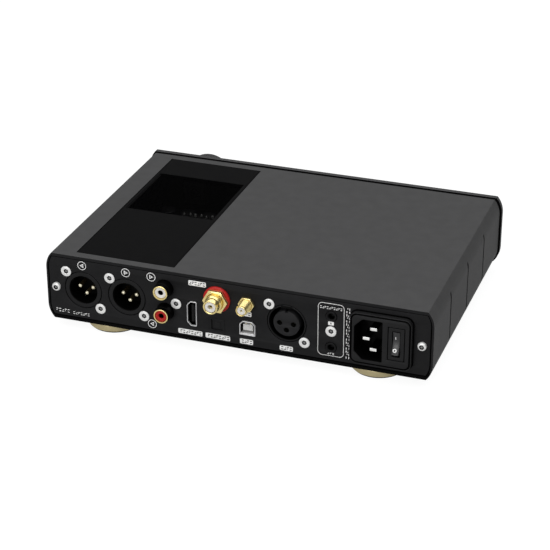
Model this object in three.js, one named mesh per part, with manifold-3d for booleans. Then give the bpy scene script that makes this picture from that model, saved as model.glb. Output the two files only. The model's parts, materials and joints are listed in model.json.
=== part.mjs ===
// Desktop digital-to-analogue converter: an extruded sleeve closed by two panels, on four feet.
// The rear panel carries the sockets and the mains inlet; the front panel carries the display and the knob.
// Millimetres. +X is the right side seen from the front, +Y points out of the rear panel, +Z is up.
// The origin is on the desk, under the middle of the whole object.

import * as THREE from 'three';
import { mergeVertices } from 'three/addons/utils/BufferGeometryUtils.js';
import Module from 'manifold-3d';

const wasm = await Module();
wasm.setup();

// ---------------------------------------------------------------- driving dimensions
const GAP = 0.3;                       // clearance round a piece that sits in a cut-out
const CUT = 1;                         // how far a cutting solid runs past the face it opens

const sleeve = { width: 220, bottom: 5, top: 45, rear: 80, front: -69, wall: 2, crease: 3.5, bend: 9 };
const midHeight = (sleeve.bottom + sleeve.top) / 2;
const bendRadius = (sleeve.crease ** 2 + sleeve.bend ** 2) / (2 * sleeve.crease);

const sideGroove = { width: 1.7, depth: 0.8, depths: [35, 72.5, 110] };
const skylight = { left: 36.3, right: 93.2, rear: 74.5, front: -63, thick: 1.2, ledge: 1.8, gap: 0.2 };
const channel = { x: 104, halfWidth: 2.8, halfHeight: 3.6, hole: 1.9, setBack: 3.2 };
const rail = { low: 10.2, high: 11.6, reach: 5 };

const rearPlate = { seam: 0.4, thick: 3 };
const gasket = { thick: 1.2, inset: 0.4 };
const facia = { thick: 3.2, side: 1.0, cap: 0.55 };
const display = { x: -22, width: 84, height: 22, lens: 1.6, border: 3, module: 7, corner: 2 };

const knob = { x: 78.6, radius: 14.9, gap: 0.9, length: 16.3, chamfer: 0.8, socket: 9, counterbore: 10.5 };
const encoder = { size: 14, depth: 9, bushing: 4.4, bore: 3.4, shaft: 3, shaftEnd: -6.9, fit: 0.05 };

const foot = { x: 76.5, rear: 64, front: -53, radius: 15.2, ring: 4, pad: 14.4, recess: 1.8 };

const xlr = { ring: 10.7, cup: 14, depth: 20, body: 10, screw: 9.9, seam: 0.2 };
const xlrFlange = { width: 25.4, height: 31, thick: 2.3, corner: 2 };
const xlrMale = { bore: 8.1, circle: 3.9, radius: 1.15, recess: 3.8 };
const xlrFemale = { bore: 9.65, insert: 7.4, proud: 0.4, hole: 1.45, key: 0.75 };
const latch = { half: 3.2, top: 9.95 };
const rca = { x: 39.6, upper: 34.5, lower: 20.5, shell: 4.15, bore: 3.3, proud: 7 };
const rcaCollar = { radius: 4.7, proud: 4.5 };
const coax = { x: 9.55, z: 32.85, washer: 7.6, washerThick: 1.2, nut: 7.1, nutThick: 2.8, proud: 10.6 };
const coaxBarrelSize = { thread: 4.8, collarEnd: 6.4, radius: 4.15, bore: 3.1, depth: 11 };
const antenna = { x: -7.4, z: 33, nut: 4.6, nutThick: 2, thread: 3.15, bore: 2.4, proud: 9.5, depth: 9 };
const linkPort = { x: 24.2, z: 21.6, width: 5.6, height: 14.8, chamfer: 2.2, depth: 12 };
const optical = { x: 9.8, z: 17.2, width: 9, height: 7.5, hole: 6.4, holeHeight: 6, depth: 14 };
const flap = { thick: 0.7, setBack: 0.95, hingeDrop: 0.6, topGap: 0.2, sideGap: 0.25, lowGap: 0.15 };
const usb = { x: -7.65, z: 18.2, width: 9, height: 8.3, chamfer: 1.9, depth: 16 };
const trigger = { x: -54.5, upper: 33.6, lower: 15.1, ring: 3, hole: 1.8, depth: 13, under: 1.8, over: 4.6 };
const phonoScrew = [33.3, 26];
const triggerScrew = [-54.4, 24.7];
const inlet = {
  left: -65.4, right: -99, low: 10, high: 40, proud: 3.3, corner: 4, inset: 1.6, depth: 22,
  mouth: { x: -75.6, z: 24.8, width: 15.4, height: 23.8, chamfer: 4.5, depth: 15 },
  blade: { width: 4, thick: 2, recess: 1.7, pair: 6, x: -78.05, earth: -74.15 },
};
const rocker = { x: -90.8, z: 25, width: 3.9, half: 6.2, crown: 4.8, waist: 3.2, sink: 3.5, tilt: 12 };
const rockerSlot = { side: 0.25, end: 1.35, depth: 12, axle: 0.95, bearing: 1.2, bearingLength: 7.4 };
const board = { low: 11.6, thick: 1.6, halfWidth: 105, rear: 74, front: -60 };

// ---------------------------------------------------------------- materials
const paint = (color, roughness, metalness = 0) => new THREE.MeshStandardMaterial({
  color, roughness, metalness, flatShading: true,
});
const look = {
  anodised: paint(0x4c4c4d, 0.5, 0.7),
  panel: paint(0x26272a, 0.55, 0.5),
  black: paint(0x0d0d0e, 0.5),
  glass: paint(0x101113, 0.08),
  gold: paint(0xe2c46e, 0.3, 1),
  champagne: paint(0xb5a67c, 0.35, 1),
  steel: paint(0xc9cacc, 0.3, 1),
  rubber: paint(0x141414, 0.9),
  white: paint(0xe9e6dd, 0.5),
  red: paint(0xb3201f, 0.45),
  board: paint(0x15251c, 0.6),
};

// ---------------------------------------------------------------- solids
function solid(geometry) {
  const bare = geometry.clone();
  bare.deleteAttribute('normal');
  bare.deleteAttribute('uv');
  const merged = mergeVertices(bare, 1e-4);
  const points = merged.attributes.position.array;
  const corner = (i) => new THREE.Vector3().fromArray(points, 3 * i);
  const triangles = [];
  let volume = 0;
  for (let i = 0; i < merged.index.count; i += 3) {
    const [a, b, c] = merged.index.array.slice(i, i + 3);
    if (a === b || b === c || c === a) continue;
    triangles.push([a, b, c]);
    volume += corner(a).dot(corner(b).cross(corner(c)));
  }
  const outward = volume > 0 ? triangles : triangles.map(([a, b, c]) => [a, c, b]);
  return new wasm.Manifold(new wasm.Mesh({
    numProp: 3,
    vertProperties: new Float32Array(points),
    triVerts: Uint32Array.from(outward.flat()),
  }));
}

const join = (first, ...others) => others.reduce((sum, piece) => sum.add(piece), first);
const cut = (first, ...others) => others.reduce((rest, piece) => rest.subtract(piece), first);

// A block between two corners.
function block(x0, x1, y0, y1, z0, z1) {
  const box = new THREE.BoxGeometry(Math.abs(x1 - x0), y1 - y0, z1 - z0);
  return solid(box.translate((x0 + x1) / 2, (y0 + y1) / 2, (z0 + z1) / 2));
}

// An outline drawn across the object (X, Z) and carried from y0 to y1.
function prism(shape, y0, y1, curveSegments = 5) {
  const geometry = new THREE.ExtrudeGeometry(shape, { depth: y1 - y0, bevelEnabled: false, curveSegments });
  return solid(geometry.rotateX(Math.PI / 2).translate(0, y1, 0));
}

// A profile of [radius, y] points turned about an axis along Y. A ring's profile ends where it starts.
function turned(profile, segments = 20) {
  return solid(new THREE.LatheGeometry(profile.map(([r, y]) => new THREE.Vector2(r, y)), segments));
}

function rod(x, z, radius, y0, y1, segments = 20) {
  return turned([[0, y0], [radius, y0], [radius, y1], [0, y1]], segments).translate([x, 0, z]);
}

function tube(outer, inner, y0, y1, segments = 20) {
  return turned([[inner, y0], [outer, y0], [outer, y1], [inner, y1], [inner, y0]], segments);
}

// ---------------------------------------------------------------- outlines
// The sleeve's section, moved in by `side` at the flanks and by `cap` at the top and bottom.
function sleeveOutline(side, cap = side) {
  const radius = bendRadius - side;
  const centre = sleeve.width / 2 - bendRadius;
  const low = sleeve.bottom + sleeve.bend;
  const high = sleeve.top - sleeve.bend;
  const sweep = Math.asin((sleeve.bend - cap) / radius);
  const shape = new THREE.Shape();
  shape.absarc(centre, high, radius, 0, sweep, false);
  shape.absarc(-centre, high, radius, Math.PI - sweep, Math.PI, false);
  shape.absarc(-centre, low, radius, Math.PI, Math.PI + sweep, false);
  shape.absarc(centre, low, radius, 2 * Math.PI - sweep, 2 * Math.PI, false);
  shape.closePath();
  return shape;
}

// A rectangle about (x, z) with round corners.
function roundedRectangle(x, z, width, height, radius) {
  const right = x + width / 2 - radius;
  const left = x - width / 2 + radius;
  const high = z + height / 2 - radius;
  const low = z - height / 2 + radius;
  const shape = new THREE.Shape();
  shape.absarc(right, high, radius, 0, Math.PI / 2, false);
  shape.absarc(left, high, radius, Math.PI / 2, Math.PI, false);
  shape.absarc(left, low, radius, Math.PI, 1.5 * Math.PI, false);
  shape.absarc(right, low, radius, 1.5 * Math.PI, 2 * Math.PI, false);
  shape.closePath();
  return shape;
}

const polygon = (points) => new THREE.Shape(points.map(([x, z]) => new THREE.Vector2(x, z)));

function hexagon(radius) {
  const corners = Array.from({ length: 6 }, (_, i) => (i * Math.PI) / 3);
  return polygon(corners.map((angle) => [radius * Math.cos(angle), radius * Math.sin(angle)]));
}

// A rectangle about (x, z) whose two corners on the +X side are cut off, grown by `grow`.
function sideChamfered({ x, z, width, height, chamfer }, grow = 0) {
  const w = width / 2 + grow;
  const h = height / 2 + grow;
  return polygon([[x - w, z - h], [x + w - chamfer, z - h], [x + w, z - h + chamfer],
    [x + w, z + h - chamfer], [x + w - chamfer, z + h], [x - w, z + h]]);
}

// The same with the two upper corners cut off.
function topChamfered({ x, z, width, height, chamfer }, grow = 0) {
  const w = width / 2 + grow;
  const h = height / 2 + grow;
  return polygon([[x - w, z - h], [x + w, z - h], [x + w, z + h - chamfer],
    [x + w - chamfer, z + h], [x - w + chamfer, z + h], [x - w, z + h - chamfer]]);
}

const rectangle = ({ x, z, width, height }, grow = 0) => {
  const w = width / 2 + grow;
  const h = height / 2 + grow;
  return polygon([[x - w, z - h], [x + w, z - h], [x + w, z + h], [x - w, z + h]]);
};

// ---------------------------------------------------------------- scene graph helpers
const object = new THREE.Group();

function addTo(parent, name, manifold, material) {
  const { vertProperties, triVerts } = manifold.getMesh();
  const geometry = new THREE.BufferGeometry();
  geometry.setAttribute('position', new THREE.BufferAttribute(new Float32Array(vertProperties), 3));
  geometry.setIndex(new THREE.BufferAttribute(new Uint32Array(triVerts), 1));
  geometry.computeVertexNormals();
  const mesh = new THREE.Mesh(geometry, material);
  mesh.name = name;
  parent.add(mesh);
  return mesh;
}

// Pieces on the rear panel are drawn with y = 0 at the panel's outer face, so +y stands proud of it.
const rearFace = new THREE.Group();
rearFace.position.y = sleeve.rear;
object.add(rearFace);

function onRear(x, z) {
  const group = new THREE.Group();
  group.position.set(x, 0, z);
  rearFace.add(group);
  return group;
}

// ---------------------------------------------------------------- case
function caseShell() {
  const { front, rear, wall, top, width } = sleeve;
  const cavity = prism(sleeveOutline(wall), front - CUT, rear + CUT);
  const pieces = [cut(prism(sleeveOutline(0), front, rear), cavity)];
  const inner = width / 2 - wall / 2;
  for (const side of [-1, 1]) {
    const x = side * channel.x;
    pieces.push(block(x - side * channel.halfWidth, side * inner, front, rear - channel.setBack,
      midHeight - channel.halfHeight, midHeight + channel.halfHeight));
    pieces.push(block(side * (inner - rail.reach), side * inner, front, rear - channel.setBack,
      rail.low, rail.high));
  }
  const cuts = [];
  for (const side of [-1, 1]) {
    cuts.push(rod(side * channel.x, midHeight, channel.hole, front - CUT, rear, 12));
    for (const depth of sideGroove.depths) {
      const y = rear - depth;
      cuts.push(block(side * (width / 2 - sideGroove.depth), side * (width / 2 + CUT),
        y - sideGroove.width / 2, y + sideGroove.width / 2, 0, top + CUT));
    }
  }
  const { gap, ledge, thick } = skylight;
  cuts.push(block(skylight.left - gap, skylight.right + gap, skylight.front - gap, skylight.rear + gap,
    top - thick, top + CUT));
  cuts.push(block(skylight.left + ledge, skylight.right - ledge, skylight.front + ledge,
    skylight.rear - ledge, top - 2 * wall, top));
  return cut(join(...pieces), ...cuts);
}

function topWindow() {
  return block(skylight.left, skylight.right, skylight.front, skylight.rear,
    sleeve.top - skylight.thick, sleeve.top);
}

// ---------------------------------------------------------------- rear panel
const xlrSockets = {
  output_r: { x: 88.1, z: 25.1, pins: true },
  output_l: { x: 62.2, z: 25.1, pins: true },
  input: { x: -29.8, z: 25.15, pins: false },
};
const connectorScrews = { phono_screw: phonoScrew, trigger_screw: triggerScrew };
for (const [name, { x, z }] of Object.entries(xlrSockets)) {
  connectorScrews[`${name}_screw_upper`] = [x + xlr.screw, z + xlr.screw];
  connectorScrews[`${name}_screw_lower`] = [x - xlr.screw, z - xlr.screw];
}
const screwHead = {
  radius: 3, seam: 0.08, thick: 1.1, proud: 0.25, shank: 1.5, length: 7, socket: 1.2, socketDepth: 0.8,
};

function rearPanel() {
  const { seam, thick } = rearPlate;
  const plate = prism(sleeveOutline(sleeve.wall + seam), -thick, 0);
  const through = (shape) => prism(shape, -thick - CUT, CUT, 4);
  const hole = (x, z, radius, segments) => rod(x, z, radius, -thick - CUT, CUT, segments);
  const cuts = [];
  for (const { x, z } of Object.values(xlrSockets)) cuts.push(hole(x, z, xlr.ring + xlr.seam, 28));
  for (const [x, z] of Object.values(connectorScrews)) {
    cuts.push(rod(x, z, screwHead.radius + screwHead.seam, -screwHead.thick, CUT, 12));
    cuts.push(hole(x, z, screwHead.shank + GAP, 8));
  }
  for (const side of [-1, 1]) cuts.push(hole(side * channel.x, midHeight, screwHead.shank + GAP, 8));
  for (const z of [rca.upper, rca.lower]) cuts.push(hole(rca.x, z, rcaCollar.radius + GAP, 20));
  cuts.push(hole(coax.x, coax.z, coaxBarrelSize.thread + GAP, 20));
  cuts.push(hole(antenna.x, antenna.z, antenna.thread + GAP, 16));
  for (const z of [trigger.upper, trigger.lower]) cuts.push(hole(trigger.x, z, trigger.ring + GAP, 16));
  cuts.push(through(sideChamfered(linkPort, GAP)));
  cuts.push(through(rectangle(optical, GAP)));
  cuts.push(through(topChamfered(usb, GAP)));
  cuts.push(block(inlet.left - inlet.inset + GAP, inlet.right + inlet.inset - GAP, -thick - CUT, CUT,
    inlet.low + inlet.inset - GAP, inlet.high - inlet.inset + GAP));
  return cut(plate, ...cuts);
}

function countersunkScrew() {
  const { radius, thick, proud, shank, length, socket, socketDepth } = screwHead;
  const bottom = -thick + 0.1;
  const profile = [[0, -length], [shank, -length], [shank, bottom], [radius, bottom],
    [radius, proud - 0.2], [radius - 0.3, proud], [0, proud]];
  return cut(turned(profile, 12), prism(hexagon(socket), proud - socketDepth, CUT));
}

function panelScrew() {
  const { shank, socket } = screwHead;
  const profile = [[0, -11], [shank, -11], [shank, 0], [2.45, 0], [2.45, 1], [2, 1.7], [1.35, 2], [0, 2]];
  return cut(turned(profile, 12), prism(hexagon(socket), 0.9, 2 + CUT));
}

// ---------------------------------------------------------------- three-pole sockets
// The shell's body passes through the panel; its flange is clamped behind it by the two screws.
function xlrShell({ pins }) {
  const { ring, cup, depth, body, screw } = xlr;
  const { width, height, thick, corner } = xlrFlange;
  const step = -rearPlate.thick - 0.1;
  const barrel = turned([[0, -depth], [body, -depth], [body, step], [ring, step], [ring, 0], [0, 0]], 28);
  const flange = prism(roundedRectangle(0, 0, width, height, corner), step - thick, step, 3);
  const shankEnd = -screwHead.length - 2;
  const shank = (at) => rod(at, at, screwHead.shank + GAP, shankEnd, step + CUT, 10);
  const cuts = [rod(0, 0, pins ? xlrMale.bore : xlrFemale.bore, -cup, CUT, 28), shank(screw), shank(-screw)];
  if (!pins) {
    cuts.push(block(-latch.half, latch.half, -cup / 2, CUT, 0, latch.top));
  }
  return cut(join(barrel, flange), ...cuts);
}

const pinPlaces = [[xlrMale.circle, 0], [-xlrMale.circle, 0], [0, -xlrMale.circle]];

function xlrPins() {
  const floor = -xlr.cup + GAP;
  const { bore, radius, recess } = xlrMale;
  const carrier = rod(0, 0, bore - GAP, floor, floor + 2.5, 28);
  const profile = [[0, floor + 1], [radius, floor + 1], [radius, -recess - 0.8],
    [radius / 2, -recess], [0, -recess]];
  return join(carrier, ...pinPlaces.map(([x, z]) => turned(profile, 10).translate([x, 0, z])));
}

function xlrInsert() {
  const floor = -xlr.cup + GAP;
  const { bore, insert, proud, hole, key } = xlrFemale;
  const body = join(rod(0, 0, bore - GAP, floor, floor + 2, 28), rod(0, 0, insert, floor, proud, 28));
  const holes = pinPlaces.map(([x, z]) => rod(x, z, hole, -10, CUT, 10));
  return cut(body, ...holes, block(-key, key, -9, CUT, insert - 0.9, insert + CUT));
}

// ---------------------------------------------------------------- phono pair
function phonoBody() {
  const step = -rearPlate.thick - 0.1;
  const blockBody = block(rca.x - 8.6, rca.x + 7.4, -17, step, 13.4, 41);
  const { radius, proud } = rcaCollar;
  const collars = [rca.upper, rca.lower].map((z) => rod(rca.x, z, radius, step - CUT, proud, 24));
  const bores = [rca.upper, rca.lower].map((z) => rod(rca.x, z, rca.shell + 0.1, -8, rca.proud, 24));
  const [screwX, screwZ] = phonoScrew;
  return cut(join(blockBody, ...collars), ...bores, rod(screwX, screwZ, screwHead.shank + GAP, -9, 0, 10));
}

const phonoShell = () => tube(rca.shell, rca.bore, -7.8, rca.proud);

function phonoInsulator() {
  const contact = 1.6;
  const { bore, proud } = rca;
  return cut(rod(0, 0, bore - 0.1, -7.5, proud - 0.5, 24), rod(0, 0, contact, -5, proud + CUT, 12));
}

// ---------------------------------------------------------------- coaxial and antenna sockets
const coaxWasher = () => tube(coax.washer, coaxBarrelSize.thread + 0.1, 0, coax.washerThick, 28);

function coaxNut() {
  const seat = coax.washerThick;
  const end = seat + coax.nutThick;
  const hole = rod(0, 0, coaxBarrelSize.thread + 0.1, seat - CUT, end + CUT, 20);
  return cut(prism(hexagon(coax.nut), seat, end), hole);
}

function coaxBarrel() {
  const { thread, collarEnd, radius, bore, depth } = coaxBarrelSize;
  const { proud } = coax;
  return turned([[bore, -depth], [thread, -depth], [thread, collarEnd], [radius, collarEnd + 0.5],
    [radius, proud], [bore, proud], [bore, -depth]], 24);
}

function coaxInsulator() {
  const { bore, depth } = coaxBarrelSize;
  return cut(rod(0, 0, bore - 0.1, -depth, coax.proud - 0.4, 20), rod(0, 0, 1.5, -2, coax.proud + CUT, 12));
}

function antennaNut() {
  const { nut, nutThick, thread } = antenna;
  return cut(prism(hexagon(nut), 0, nutThick), rod(0, 0, thread + 0.1, -CUT, nutThick + CUT, 16));
}

const antennaBarrel = () => tube(antenna.thread, antenna.bore, -antenna.depth, antenna.proud, 20);

function antennaDielectric() {
  const { bore, depth, proud } = antenna;
  return cut(rod(0, 0, bore - 0.1, -depth, proud - 0.6, 16), rod(0, 0, 0.6, -2, proud + CUT, 8));
}

// ---------------------------------------------------------------- digital ports
function portShell(outline, depth, wall, proud) {
  return cut(prism(outline(0), -depth, proud), prism(outline(-wall), -depth + 1.2, proud + CUT));
}

const linkOutline = (grow) => sideChamfered({ ...linkPort, x: 0, z: 0 }, grow);
const linkShell = () => portShell(linkOutline, linkPort.depth, 0.6, 0.3);

function linkTongue() {
  const tail = -linkPort.depth + 1.5;
  return join(block(-2, 1.6, tail, tail + 2, -5, 5), block(-1.2, 0.4, tail, -1, -5, 5));
}

const usbOutline = (grow) => topChamfered({ ...usb, x: 0, z: 0 }, grow);
const usbShell = () => portShell(usbOutline, usb.depth, 0.5, 0.4);

function usbTongue() {
  const tail = -usb.depth + 1.5;
  return join(block(-3.6, 3.6, tail, tail + 2, -3.4, 2), block(-2.8, 2.8, tail, -0.8, -1.6, 1.7));
}

function opticalBody() {
  const { width, height, depth, hole, holeHeight } = optical;
  const body = block(-width / 2, width / 2, -depth, 0, -height / 2 + 0.05, height / 2);
  return cut(body, block(-hole / 2, hole / 2, -depth + 2, CUT, -holeHeight / 2, holeHeight / 2));
}

// The flap hangs from a hinge line along X, just inside the top of the opening. Its origin is on that line.
function opticalShutter() {
  const { thick, hingeDrop, topGap, sideGap, lowGap } = flap;
  const side = optical.hole / 2 - sideGap;
  const low = hingeDrop - optical.holeHeight + lowGap;
  return block(-side, side, -thick / 2, thick / 2, low, hingeDrop - topGap);
}

// ---------------------------------------------------------------- trigger jacks
function triggerJack() {
  const { ring, hole, depth, under, over } = trigger;
  const step = -rearPlate.thick - 0.1;
  const body = join(rod(0, 0, ring, step - CUT, 0.4, 20), block(-5, 5, -depth, step, -under, over));
  return cut(body, rod(0, 0, hole, -depth + 2, CUT, 14));
}

// ---------------------------------------------------------------- mains inlet and its rocker switch
function inletBody() {
  const { left, right, low, high, proud, corner, inset, depth, mouth } = inlet;
  const flangeOutline = roundedRectangle((left + right) / 2, (low + high) / 2, left - right, high - low,
    corner);
  const flange = prism(flangeOutline, 0, proud, 4);
  const housing = block(left - inset, right + inset, -depth, CUT, low + inset, high - inset);
  const { side, end, bearing, bearingLength } = rockerSlot;
  const halfWidth = rocker.width / 2 + side;
  const halfHeight = rocker.half + end;
  const slot = block(rocker.x - halfWidth, rocker.x + halfWidth, proud - rockerSlot.depth, proud + CUT,
    rocker.z - halfHeight, rocker.z + halfHeight);
  const axleBearing = alongX(bearing, bearingLength).translate([rocker.x, proud - rocker.sink, rocker.z]);
  const line = 0.35;
  const frame = { x: rocker.x, z: rocker.z, width: 9.4, height: 19.6 };
  const groove = cut(prism(rectangle(frame), proud - 0.5, proud + CUT),
    prism(rectangle(frame, -line), proud - 2, proud + 2));
  return cut(join(flange, housing), prism(sideChamfered(mouth), proud - mouth.depth, proud + CUT),
    slot, axleBearing, groove);
}

function inletBlades() {
  const { proud, blade, mouth } = inlet;
  const floor = proud - mouth.depth + GAP;
  const carrier = prism(sideChamfered(mouth, -GAP), floor, floor + 2);
  const bladeAt = (x, z) => block(x - blade.width / 2, x + blade.width / 2, floor + 1, proud - blade.recess,
    z - blade.thick / 2, z + blade.thick / 2);
  return join(carrier, bladeAt(blade.x, mouth.z + blade.pair), bladeAt(blade.x, mouth.z - blade.pair),
    bladeAt(blade.earth, mouth.z));
}

// A round bar along X, centred on the origin.
function alongX(radius, length, segments = 12) {
  const cylinder = new THREE.CylinderGeometry(radius, radius, length, segments);
  return solid(cylinder.rotateZ(Math.PI / 2));
}

// The paddle's side view (Y, Z) about its axle, level; the mesh is tilted to show its upper end pressed in.
function rockerPaddle() {
  const { half, crown, waist, width } = rocker;
  const side = polygon([[-2, -1.6], [-2, 1.6], [crown - 1.6, half], [crown, half], [waist, 0],
    [crown, -half], [crown - 1.6, -half]]);
  const geometry = new THREE.ExtrudeGeometry(side, { depth: width, bevelEnabled: false });
  geometry.translate(0, 0, -width / 2);
  geometry.applyMatrix4(new THREE.Matrix4().set(0, 0, 1, 0, 1, 0, 0, 0, 0, 1, 0, 0, 0, 0, 0, 1));
  return join(solid(geometry), alongX(rockerSlot.axle, rockerSlot.bearingLength - 0.4));
}

// ---------------------------------------------------------------- front
const faciaBack = sleeve.front - gasket.thick;
const faciaFace = faciaBack - facia.thick;

function frontPanel() {
  const { x, width, height, lens, border, corner } = display;
  const pocket = roundedRectangle(x, midHeight, width + 0.4, height + 0.4, corner);
  const view = { x, z: midHeight, width: width - 2 * border, height: height - 2 * border };
  return cut(prism(sleeveOutline(-facia.side, -facia.cap), faciaFace, faciaBack),
    prism(pocket, faciaFace - CUT, faciaFace + lens, 3),
    prism(rectangle(view), faciaFace, faciaBack + CUT),
    rod(knob.x, midHeight, encoder.bushing + GAP, faciaFace - CUT, faciaBack + CUT, 20));
}

function frontGasket() {
  const ring = prism(sleeveOutline(gasket.inset), faciaBack, sleeve.front);
  return cut(ring, prism(sleeveOutline(sleeve.wall), faciaBack - CUT, sleeve.front + CUT));
}

function displayLens() {
  const { x, width, height, lens, corner } = display;
  const outline = roundedRectangle(x, midHeight, width, height, corner - 0.2);
  return prism(outline, faciaFace, faciaFace + lens - 0.1, 3);
}

function displayModule() {
  const { x, width, height, module } = display;
  return block(x - width / 2, x + width / 2, faciaBack, faciaBack + module,
    midHeight - height / 2, midHeight + height / 2);
}

// The knob's group has its y = 0 at the panel face and +y going forward out of it, so it is turned about Z.
function knobCap() {
  const { radius, gap, length, chamfer, socket, counterbore } = knob;
  const front = gap + length;
  const grip = radius - 0.35;
  const bore = encoder.shaft + 0.15;
  const profile = [[0, gap + socket], [bore, gap + socket], [bore, gap + 4],
    [counterbore, gap + 4], [counterbore, gap], [radius - 0.5, gap], [radius, gap + 0.5],
    [radius, gap + 2.5], [grip, gap + 3], [grip, front - 3], [radius, front - 2.5],
    [radius, front - chamfer], [radius - chamfer, front], [0, front]];
  return turned(profile, 28);
}

const encoderShaft = () => rod(0, 0, encoder.shaft, encoder.shaftEnd, knob.gap + knob.socket - 0.1, 20);

function encoderBody() {
  const { size, depth, bushing, bore } = encoder;
  const back = -facia.thick;
  const housing = block(-size / 2, size / 2, back - depth, back, -size / 2, size / 2);
  return cut(join(housing, rod(0, 0, bushing, back - CUT, 0.4, 20)),
    rod(0, 0, bore, back - depth - CUT, CUT, 20));
}

function encoderPlunger() {
  const top = encoder.shaftEnd - encoder.fit;
  return join(rod(0, 0, 3.1, top - 1.6, top, 16), rod(0, 0, 1.5, top - 4.4, top - 1, 12));
}

// ---------------------------------------------------------------- feet
function footRing() {
  const { radius, ring, pad, recess } = foot;
  const low = sleeve.bottom - ring;
  const profile = [[0, low + recess], [pad + 0.2, low + recess], [pad + 0.2, low], [radius - 0.5, low],
    [radius, low + 0.5], [radius, sleeve.bottom - 0.4], [radius - 0.4, sleeve.bottom], [0, sleeve.bottom]];
  return turned(profile, 24).rotate([90, 0, 0]);
}

function footPad() {
  const { ring, pad, recess } = foot;
  const high = sleeve.bottom - ring + recess - 0.05;
  return turned([[0, 0], [pad - 0.5, 0], [pad, 0.5], [pad, high], [0, high]], 24).rotate([90, 0, 0]);
}

// ---------------------------------------------------------------- inside
function mainBoard() {
  const { low, thick, halfWidth, rear, front } = board;
  const top = low + thick;
  const sink = 0.4;
  const standing = (x, y, radius, height) => solid(new THREE.CylinderGeometry(radius, radius, height, 10)
    .rotateX(Math.PI / 2).translate(x, y, top - sink + height / 2));
  const chip = (x, y, w, l, height) => block(x - w / 2, x + w / 2, y - l / 2, y + l / 2,
    top - sink, top + height);
  const pieces = [cut(block(-halfWidth, halfWidth, front, rear, low, top),
    block(-halfWidth - CUT, -63, 52, rear + CUT, low - CUT, top + CUT))];
  for (let i = 0; i < 4; i += 1) pieces.push(standing(44 + 13 * i, -30, 5, 14));
  for (let i = 0; i < 3; i += 1) pieces.push(standing(46 + 12 * i, 22, 4, 11));
  for (let i = 0; i < 4; i += 1) pieces.push(standing(-52, -42 + 17 * i, 6.3, 20));
  pieces.push(chip(58, -6, 10, 10, 1.2), chip(78, -6, 10, 10, 1.2), chip(86, 30, 9, 18, 8));
  pieces.push(chip(10, 10, 14, 14, 1.4), chip(-14, 24, 12, 12, 1.2), chip(10, -28, 20, 12, 3));
  return join(...pieces);
}

function powerSupply() {
  const can = block(-101, -64.5, -52, 44, 13.4, 37);
  const ribs = Array.from({ length: 5 }, (_, i) => block(-98, -67, -44 + 18 * i, -40 + 18 * i, 36, 38.5));
  return join(can, ...ribs);
}

// ---------------------------------------------------------------- assembly
addTo(object, 'case_shell', caseShell(), look.anodised);
addTo(object, 'top_window', topWindow(), look.glass);
addTo(object, 'main_board', mainBoard(), look.board);
addTo(object, 'power_supply', powerSupply(), look.steel);

addTo(rearFace, 'rear_panel', rearPanel(), look.panel);
for (const [name, [x, z]] of Object.entries(connectorScrews)) {
  addTo(onRear(x, z), name, countersunkScrew(), look.steel);
}
for (const [name, side] of [['panel_screw_right', 1], ['panel_screw_left', -1]]) {
  addTo(onRear(side * channel.x, midHeight), name, panelScrew(), look.steel);
}

for (const [name, socket] of Object.entries(xlrSockets)) {
  const group = onRear(socket.x, socket.z);
  addTo(group, `balanced_${name}_shell`, xlrShell(socket), look.panel);
  if (socket.pins) addTo(group, `balanced_${name}_pins`, xlrPins(), look.gold);
  else addTo(group, `balanced_${name}_insert`, xlrInsert(), look.black);
}

addTo(rearFace, 'phono_body', phonoBody(), look.black);
for (const [name, z, material] of [['l', rca.upper, look.white], ['r', rca.lower, look.red]]) {
  const group = onRear(rca.x, z);
  addTo(group, `phono_shell_${name}`, phonoShell(), look.gold);
  addTo(group, `phono_insulator_${name}`, phonoInsulator(), material);
}

const coaxGroup = onRear(coax.x, coax.z);
addTo(coaxGroup, 'coaxial_washer', coaxWasher(), look.red);
addTo(coaxGroup, 'coaxial_nut', coaxNut(), look.gold);
addTo(coaxGroup, 'coaxial_barrel', coaxBarrel(), look.gold);
addTo(coaxGroup, 'coaxial_insulator', coaxInsulator(), look.white);

const antennaGroup = onRear(antenna.x, antenna.z);
addTo(antennaGroup, 'antenna_nut', antennaNut(), look.gold);
addTo(antennaGroup, 'antenna_barrel', antennaBarrel(), look.gold);
addTo(antennaGroup, 'antenna_dielectric', antennaDielectric(), look.white);

const linkGroup = onRear(linkPort.x, linkPort.z);
addTo(linkGroup, 'link_port_shell', linkShell(), look.steel);
addTo(linkGroup, 'link_port_tongue', linkTongue(), look.black);

const usbGroup = onRear(usb.x, usb.z);
addTo(usbGroup, 'usb_port_shell', usbShell(), look.steel);
addTo(usbGroup, 'usb_port_tongue', usbTongue(), look.white);

const opticalGroup = onRear(optical.x, optical.z);
addTo(opticalGroup, 'optical_port_body', opticalBody(), look.black);
const shutter = addTo(opticalGroup, 'optical_port_shutter', opticalShutter(), look.black);
shutter.position.set(0, -flap.setBack, optical.holeHeight / 2 - flap.hingeDrop);

for (const [name, z] of [['upper', trigger.upper], ['lower', trigger.lower]]) {
  addTo(onRear(trigger.x, z), `trigger_jack_${name}`, triggerJack(), look.black);
}

addTo(rearFace, 'mains_inlet_body', inletBody(), look.black);
addTo(rearFace, 'mains_inlet_blades', inletBlades(), look.steel);
const paddle = addTo(rearFace, 'power_rocker', rockerPaddle(), look.black);
paddle.position.set(rocker.x, inlet.proud - rocker.sink, rocker.z);
paddle.rotation.x = THREE.MathUtils.degToRad(rocker.tilt);

addTo(object, 'front_gasket', frontGasket(), look.black);
addTo(object, 'front_panel', frontPanel(), look.anodised);
addTo(object, 'display_lens', displayLens(), look.glass);
addTo(object, 'display_module', displayModule(), look.board);

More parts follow.
